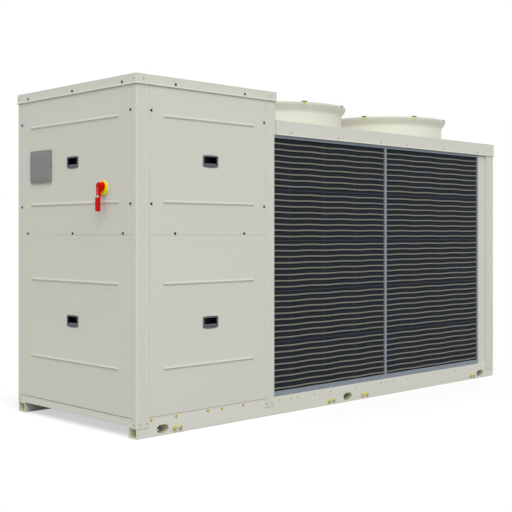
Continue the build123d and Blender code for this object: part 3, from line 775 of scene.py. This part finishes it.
class CHILLER_OT_rail_liners(bpy.types.Operator):
    """Rail ends, closed above the foot line and hollow below it, and lifting hole sleeves, tinted
    with painted bounce light
    """
    bl_idname = "chiller.rail_liners"
    bl_label = "Rail liners"

    def execute(self, context):
        liners, plates, sleeves = [], [], []
        for rail in ("front", "rear"):
            low, high = corners(f"base_rail_{rail}")
            y = (low.y + high.y) / 2
            floor = low.z + RAIL_WALL + LINER_SHEET + CLEARANCE
            ceiling = high.z - RAIL_WALL - CLEARANCE
            width = high.y - low.y - 2 * (floor - low.z)
            for x, outward in ((low.x, -1), (high.x, 1)):
                deep = x - outward * (LINER_DEPTH / 2 + LINER_INSET)
                liner = cuboid("liner", (deep, y, (floor + FOOT_LINE) / 2),
                               (LINER_DEPTH, width, FOOT_LINE - floor))
                open_up(liner, lambda centre, normal: normal.x * outward > 0.9)
                liners.append(liner)
                middle = (x - outward * PLATE_INSET, y, (FOOT_LINE + ceiling) / 2)
                size = (PLATE_SHEET, width + 2 * LINER_SHEET, ceiling - FOOT_LINE)
                plates.append(cuboid("plate", middle, size))
            for x in (LIFT_INSET, BASE_LENGTH / 2, BASE_LENGTH - LIFT_INSET):
                centre = Vector((at(x, 0, 0).x, y, at(0, 0, LIFT_HEIGHT).z))
                sleeves.append(self.sleeve(centre, width))
        # The liners' lighter yellowish tint and the sleeves' yellowish tint are painted light
        # bounced inside the rails
        for name, pieces, paint in (("rail_end_liners", liners, "hollow_painted_bounce"),
                                    ("lift_hole_sleeves", sleeves, "sleeve_painted_bounce")):
            whole = joined(name, pieces)
            solidify(whole, LINER_SHEET, 1)
            apply_modifiers(whole)
            smooth(whole)
            dress(whole, paint)
        closing = joined("rail_end_plates", plates)
        bevel(closing, 0.0003)
        apply_modifiers(closing)
        dress(closing, "frame_paint")
        return {"FINISHED"}

    def sleeve(self, centre, width):
        """Open oval tube across a rail: a round one with its two halves moved apart."""
        deselect()
        bpy.ops.mesh.primitive_cylinder_add(vertices=36, radius=LIFT_RADIUS, depth=width,
                                            end_fill_type="NOTHING", location=centre,
                                            rotation=(math.radians(90), 0, 0))
        tube = named("sleeve")
        settle(tube)
        for side in (-1, 1):
            pick_points(tube, lambda point: (point.x - centre.x) * side > CLEARANCE)
            bpy.ops.object.mode_set(mode="EDIT")
            bpy.ops.transform.translate(value=(side * LIFT_STRAIGHT / 2, 0, 0))
            bpy.ops.object.mode_set(mode="OBJECT")
        return tube


class CHILLER_OT_coils(bpy.types.Operator):
    """Fins, flat tubes, fin pack joints and a near-black core, painted shade of the coils' depth,
    for the four coils
    """
    bl_idname = "chiller.coils"
    bl_label = "Coils"

    def execute(self, context):
        sizes = context.scene.chiller_sizes
        for node in ("coil_front_1", "coil_front_2", "coil_rear_1", "coil_rear_2"):
            self.build(node, sizes)
        return {"FINISHED"}

    def build(self, node, sizes):
        """One coil, its fins and tubes on the side that looks outwards."""
        low, high = corners(node)
        outward = -1 if "front" in node else 1
        tube_face, back = (low.y, high.y) if outward < 0 else (high.y, low.y)
        fin_face = tube_face - outward * sizes.tube_proud
        core_face = fin_face - outward * sizes.fin_depth
        foot, head = low.z + COIL_MARGIN, high.z - COIL_MARGIN

        # The core behind the fins is darker than the fins themselves: painted shade of the coil's
        # depth
        core = between(f"{node}_core", (low.x, core_face, low.z), (high.x, back, high.z))
        bevel(core, 0.001)
        apply_modifiers(core)
        dress(core, "coil_painted_shade")
        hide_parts(node)

        joints = [at(x, 0, 0).x for x in FIN_JOINTS]
        cuts = [low.x] + [x for x in joints if low.x < x < high.x] + [high.x]
        packs = []
        for start, end in zip(cuts, cuts[1:]):
            count = int((end - start - FIN_SLACK) / sizes.fin_pitch)
            x = start + (end - start - (count - 1) * sizes.fin_pitch) / 2
            fins = between("fin_pack", (x - FIN_SHEET / 2, core_face, foot),
                           (x + FIN_SHEET / 2, fin_face, head))
            self.repeat(fins, count, (sizes.fin_pitch, 0, 0))
            apply_modifiers(fins)
            packs.append(fins)
        fins = joined(f"{node}_fins", packs)
        dress(fins, "coil_fins")

        if len(cuts) > 2:
            face = fin_face + outward * JOINT_PROUD
            strip = joined(f"{node}_joints", [
                between("joint", (x - JOINT_WIDTH / 2, core_face, foot),
                        (x + JOINT_WIDTH / 2, face, head))
                for x in cuts[1:-1]
            ])
            bevel(strip, 0.0005)
            apply_modifiers(strip)
            dress(strip, "coil_joint")

        half = sizes.tube_height / 2
        z = at(0, 0, sizes.first_tube).z
        tubes = self.wavy_bar(f"{node}_tubes", Vector((low.x, core_face, z - half)),
                              Vector((high.x, tube_face, z + half)), sizes)
        bevel(tubes, TUBE_EDGE, 2)
        self.repeat(tubes, TUBES_IN_GROUP, (0, 0, sizes.tube_pitch))
        self.repeat(tubes, TUBE_GROUPS, (0, 0, sizes.group_pitch))
        apply_modifiers(tubes)
        smooth(tubes)
        dress(tubes, "tube_line")

        group = (TUBES_IN_GROUP - 1) * sizes.tube_pitch
        z += group + (sizes.group_pitch - group) / 2
        face = fin_face + outward * TIE_PROUD
        ties = between(f"{node}_ties", (low.x, core_face, z - TIE_HEIGHT / 2),
                       (high.x, face, z + TIE_HEIGHT / 2))
        bevel(ties, 0.0005)
        self.repeat(ties, TUBE_GROUPS - 1, (0, 0, sizes.group_pitch))
        apply_modifiers(ties)
        dress(ties, "coil_joint")

    def repeat(self, piece, count, step):
        """Repeats the piece by an array modifier."""
        only(piece)
        bpy.ops.object.modifier_add(type="ARRAY")
        array = piece.modifiers[-1]
        array.use_relative_offset = False
        array.use_constant_offset = True
        array.constant_offset_displace = step
        array.count = count

    def wavy_bar(self, name, low, high, sizes):
        """Bar drawn out along X in short steps, lowest just behind each fin pack joint."""
        lowest = at(FIRST_SAG, 0, 0).x
        step = (high.x - low.x) / SAG_STEPS
        rises = []
        for number in range(SAG_STEPS + 1):
            along = low.x + step * number - lowest
            rises.append(-sizes.tube_sag * math.cos(2 * math.pi * along / sizes.sag_pitch))
        lift = Vector((0, 0, rises[0]))
        tube = between(name, low + lift, Vector((low.x + step, high.y, high.z)) + lift)
        pick_faces(tube, lambda centre, normal: normal.x > 0.9)
        bpy.ops.object.mode_set(mode="EDIT")
        bpy.ops.transform.translate(value=(0, 0, rises[1] - rises[0]))
        for before, after in zip(rises[1:], rises[2:]):
            move = (step, 0, after - before)
            bpy.ops.mesh.extrude_region_move(TRANSFORM_OT_translate={"value": move})
        bpy.ops.object.mode_set(mode="OBJECT")
        return tube


class CHILLER_OT_fans(bpy.types.Operator):
    """Spun cowls, round-wire guards with their motors, rim clips and rotors"""
    bl_idname = "chiller.fans"
    bl_label = "Fans"

    def execute(self, context):
        sizes = context.scene.chiller_sizes
        for number in (1, 2):
            low, high = corners(f"fan_cowl_{number}")
            centre = (low + high) / 2
            rim = (high.x - low.x) / 2
            self.cowl(number, centre, low.z, high.z, rim, sizes)
            self.guard(number, centre, high.z - sizes.guard_wire / 2, rim, sizes)
            self.motor(number, centre)
            self.clips(number, centre, high.z, rim)
            softened(f"soft_rotor_{number}", f"fan_rotor_{number}", 0.0012, "rotor")
        return {"FINISHED"}

    def cowl(self, number, centre, floor, top, rim, sizes):
        """Ring extruded upwards and opened out along an S curve, then given its thickness."""
        wall = rim - sizes.flare_width
        spring = top - sizes.flare_height
        deselect()
        bpy.ops.mesh.primitive_circle_add(vertices=COWL_SIDES, radius=wall, fill_type="NOTHING",
                                          location=(centre.x, centre.y, floor))
        cowl = named(f"spun_cowl_{number}")
        bpy.ops.object.mode_set(mode="EDIT")
        bpy.ops.mesh.select_mode(type="EDGE")
        bpy.ops.mesh.select_all(action="SELECT")
        bpy.ops.mesh.extrude_region_move(
            TRANSFORM_OT_translate={"value": (0, 0, spring - floor)})
        rise = sizes.flare_height / FLARE_STEPS
        radius = wall
        for step in range(1, FLARE_STEPS + 1):
            opened = (1 - math.cos(math.pi * step / FLARE_STEPS)) / 2
            scale = (wall + sizes.flare_width * opened) / radius
            bpy.ops.mesh.extrude_region_move(TRANSFORM_OT_translate={"value": (0, 0, rise)})
            bpy.ops.transform.resize(value=(scale, scale, 1),
                                     center_override=(centre.x, centre.y, 0))
            radius *= scale
        bpy.ops.mesh.select_all(action="SELECT")
        bpy.ops.mesh.normals_make_consistent(inside=False)
        bpy.ops.object.mode_set(mode="OBJECT")
        settle(cowl)
        solidify(cowl, sizes.cowl_sheet, -1)
        bevel(cowl, 0.0009, 2, 50)
        apply_modifiers(cowl)
        smooth(cowl, 50)
        dress(cowl, "cowl_paint")
        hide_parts(f"fan_cowl_{number}")

    def arm_angles(self):
        """Angles of the guard's arms and of the clips that hold them."""
        return [math.radians(FIRST_ARM_ANGLE + 360 / GUARD_ARMS * arm)
                for arm in range(GUARD_ARMS)]

    def guard(self, number, centre, z, rim, sizes):
        """Rings and radial arms of wire."""
        wire = sizes.guard_wire / 2
        middle = Vector((centre.x, centre.y, z))
        pieces = []
        for ring in range(GUARD_RINGS):
            deselect()
            share = ring / (GUARD_RINGS - 1)
            radius = FIRST_RING + share * (rim - LAST_RING_INSET - FIRST_RING)
            bpy.ops.mesh.primitive_torus_add(major_segments=72, minor_segments=6,
                                             major_radius=radius, minor_radius=wire * RING_SHARE,
                                             location=middle)
            pieces.append(named("ring"))
        reach = rim - ARM_INSET - ARM_START
        for angle in self.arm_angles():
            aim = Vector((math.cos(angle), math.sin(angle), 0))
            deselect()
            bpy.ops.mesh.primitive_cylinder_add(
                vertices=10, radius=wire, depth=reach,
                location=middle + aim * (ARM_START + reach / 2),
                rotation=(math.radians(90), 0, angle + math.radians(90)))
            pieces.append(named("arm"))
        guard = joined(f"wire_guard_{number}", pieces)
        smooth(guard, 60)
        dress(guard, "guard_wire")
        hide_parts(f"fan_guard_{number}")

    def motor(self, number, centre):
        """Ribbed motor and its shaft, under the guard."""
        floor = corners(f"fan_guard_{number}")[0].z
        pieces = [turned(f"fan_motor_{number}", *MOTOR), turned("shaft", *SHAFT, z=-SHAFT_DROP)]
        motor = joined(f"fan_motor_{number}", pieces)
        motor.data.transform(Matrix.Translation((centre.x, centre.y, floor + SHAFT_DROP)))
        smooth(motor)
        dress(motor, "guard_wire")

    def clips(self, number, centre, top, rim):
        """A clip on the rim for each arm, and the bolt that holds it from outside."""
        plate = cuboid("clip", (0, 0, 0), CLIP_SIZE)
        bevel(plate, 0.001)
        apply_modifiers(plate)
        bolt = turned("bolt", *RIM_BOLT)
        on_rim = Matrix.Translation((rim - CLIP_INSET, 0, 0))
        outside = Matrix.Translation((rim - RIM_BOLT_INSET, 0, -RIM_BOLT_DROP)) @ facing((1, 0, 0))
        plates, bolts = [], []
        for angle in self.arm_angles():
            turn = Matrix.Translation((centre.x, centre.y, top + CLIP_RISE))
            turn = turn @ Matrix.Rotation(angle, 4, "Z")
            plates.append(copy_at(plate, turn @ on_rim))
            bolts.append(copy_at(bolt, turn @ outside))
        bpy.data.objects.remove(plate)
        bpy.data.objects.remove(bolt)
        dress(joined(f"rim_clips_{number}", plates), "guard_wire")
        dress(joined(f"rim_bolts_{number}", bolts), "zinc_bolt")


class CHILLER_OT_controls(bpy.types.Operator):
    """Display housing with its hinged cover, and the main switch with its red handle"""
    bl_idname = "chiller.controls"
    bl_label = "Controls"

    def execute(self, context):
        softened("display_housing", "display_base", 0.0006, "display_plastic")
        softened("display_cover_shell", "display_lid", 0.0009, "display_plastic", "display_cover",
                 3)
        softened("switch_disc", "switch_plate", 0.0012, "switch_yellow", segments=3)
        softened("switch_lever", "switch_handle", 0.0035, "switch_red", "main_switch", 4)

        low, high = corners("display_lid")
        depth, along = LATCH_PLACE
        latch = cuboid("display_latch", (low.x + depth, low.y + along, (low.z + high.z) / 2),
                       LATCH_SIZE)
        bevel(latch, 0.0006, 2)
        apply_modifiers(latch)
        dress(latch, "grip_plastic", "display_cover")

        low, high = corners("switch_handle")
        middle = (low.y + high.y) / 2
        depth, along = TAB_PLACE
        tab = cuboid("padlock_tab", (low.x + depth, middle, low.z + along), TAB_SIZE)
        bevel(tab, 0.002, 3)
        apply_modifiers(tab)
        smooth(tab)
        dress(tab, "pale_plastic", "main_switch")

        depth, along = SLOT_PLACE
        slot = cuboid("padlock_slot", (low.x + depth, middle, low.z + along), SLOT_SIZE)
        bevel(slot, 0.0004)
        apply_modifiers(slot)
        dress(slot, "slot_brown", "main_switch")

        plate_low, plate_high = corners("switch_plate")
        self.hub(high.x, middle, (plate_low.z + plate_high.z) / 2 + HUB_RISE)
        return {"FINISHED"}

    def hub(self, x, y, z):
        """Round boss on the switch's plate, drawn down to the lever step by step."""
        hub = turned("switch_hub", *HUB)
        for depth in HUB_DEPTHS:
            pick_points(hub, lambda point: point.y < HUB_WAIST and point.z > depth)
            bpy.ops.object.mode_set(mode="EDIT")
            bpy.ops.transform.translate(value=(0, -HUB_DROP, 0))
            bpy.ops.transform.resize(value=(HUB_NARROWING, 1, 1), center_override=(0, 0, 0))
            bpy.ops.object.mode_set(mode="OBJECT")
        hub.data.transform(Matrix.Translation((x, y, z)) @ facing((-1, 0, 0)))
        bevel(hub, 0.0015, 3)
        apply_modifiers(hub)
        smooth(hub, 50)
        dress(hub, "switch_red", "main_switch")


class CHILLER_OT_grips(bpy.types.Operator):
    """Hand grips: rounded bezels, dark pockets and a rounded sill at the bottom of each"""
    bl_idname = "chiller.grips"
    bl_label = "Grips"

    def execute(self, context):
        for side, outward in (("end", (-1, 0, 0)), ("front", (0, -1, 0)), ("rear", (0, 1, 0))):
            softened(f"soft_grips_{side}", f"grips_{side}", 0.0008, "grip_plastic")
            low, high = corners(f"grips_{side}")
            face = (low + high) / 2
            for axis in (0, 1):
                if outward[axis]:
                    face[axis] = high[axis] if outward[axis] > 0 else low[axis]
            for level, z in (("lower", low.z + GRIP_HEIGHT / 2),
                             ("upper", high.z - GRIP_HEIGHT / 2)):
                face.z = z
                self.pocket(f"{side}_{level}", face, Vector(outward))
        return {"FINISHED"}

    def pocket(self, place, face, outward):
        """Open box with thin walls and its sill, made facing upwards and turned outwards."""
        liner = cuboid(f"grip_pocket_{place}",
                       (0, POCKET_LIFT, -POCKET_FRONT - POCKET_DEPTH / 2),
                       (POCKET_WIDTH, POCKET_HEIGHT, POCKET_DEPTH))
        open_up(liner, lambda centre, normal: normal.z > 0.9)
        solidify(liner, POCKET_SHEET, -1)
        apply_modifiers(liner)

        deselect()
        bpy.ops.mesh.primitive_cylinder_add(
            vertices=28, radius=SILL_RADIUS, depth=POCKET_WIDTH - POCKET_FRONT,
            rotation=(0, math.radians(90), 0),
            location=(0, POCKET_LIFT - POCKET_HEIGHT / 2 - SILL_DROP,
                      -SILL_RADIUS - POCKET_SHEET))
        sill = named(f"grip_sill_{place}")
        settle(sill)
        bevel(sill, 0.0008)
        apply_modifiers(sill)

        across = Vector((0, 0, 1)).cross(outward)
        turn = Matrix((across, (0, 0, 1), outward)).transposed().to_4x4()
        for piece, material in ((liner, "pocket_black"), (sill, "grip_sill")):
            piece.data.transform(Matrix.Translation(face) @ turn)
            smooth(piece)
            dress(piece, material)


class CHILLER_OT_fasteners(bpy.types.Operator):
    """Panel screws, rail bolts and the small screws along the base"""
    bl_idname = "chiller.fasteners"
    bl_label = "Fasteners"

    def execute(self, context):
        radius = context.scene.chiller_sizes.screw_radius
        screw = turned("screw", 18, radius, 0.0022, PANEL_SCREW_STEPS)
        places = on_ends(END_SCREWS, 0) + on_sides(SIDE_SCREWS, 0)
        places += on_ends(END_COVER_SCREWS, -COVER_PROUD, near_only=True)
        places += on_sides(SIDE_COVER_SCREWS, -COVER_PROUD)
        spread("panel_screws", screw, places, "black_screw")

        screw = turned("screw", *DECK_SCREW)
        spread("deck_screws", screw, on_sides(DECK_SCREWS, -COVER_PROUD), "grey_screw")

        places = on_sides(RAIL_BOLTS, RAIL_BACK)
        spread("rail_nuts", turned("nut", *RAIL_NUT), places, "zinc_bolt")
        spread("rail_studs", turned("stud", *RAIL_STUD), places, "bare_steel")

        places = on_sides(FOOT_SCREWS, RAIL_BACK)
        spread("panel_foot_screws", turned("screw", *FOOT_SCREW), places, "amber_screw")

        places = on_sides(POST_SCREWS, 0) + on_sides(COIL_SCREWS, RAIL_BACK)
        places += on_ends(POST_END_SCREWS, 0) + on_sides(SIDE_LID_SCREWS, -COVER_PROUD)
        places += on_ends(END_LID_SCREWS, -COVER_PROUD, near_only=True)
        spread("post_screws", turned("screw", *POST_SCREW), places, "olive_screw")
        return {"FINISHED"}


class CHILLER_PT_panel(bpy.types.Panel):
    """Lists the pieces in the order in which they are made"""
    bl_label = "Chiller"
    bl_idname = "CHILLER_PT_panel"
    bl_space_type = "VIEW_3D"
    bl_region_type = "UI"
    bl_category = "Chiller"

    def draw(self, context):
        for operator in OPERATORS:
            self.layout.operator(operator.bl_idname)


OPERATORS = (CHILLER_OT_stage, CHILLER_OT_finishes, CHILLER_OT_sheet_metal,
             CHILLER_OT_rail_liners, CHILLER_OT_coils, CHILLER_OT_fans, CHILLER_OT_controls,
             CHILLER_OT_grips, CHILLER_OT_fasteners)
CLASSES = (ChillerSizes, ChillerColours, *OPERATORS, CHILLER_PT_panel)


def register():
    for item in CLASSES:
        bpy.utils.register_class(item)
    bpy.types.Scene.chiller_sizes = bpy.props.PointerProperty(type=ChillerSizes)
    bpy.types.Scene.chiller_colours = bpy.props.PointerProperty(type=ChillerColours)


def unregister():
    del bpy.types.Scene.chiller_colours
    del bpy.types.Scene.chiller_sizes
    for item in reversed(CLASSES):
        bpy.utils.unregister_class(item)


def main():
    register()
    bpy.ops.chiller.stage()
    bpy.ops.chiller.finishes()
    bpy.ops.chiller.sheet_metal()
    bpy.ops.chiller.rail_liners()
    bpy.ops.chiller.coils()
    bpy.ops.chiller.fans()
    bpy.ops.chiller.controls()
    bpy.ops.chiller.grips()
    bpy.ops.chiller.fasteners()


if __name__ == "__main__":
    main()
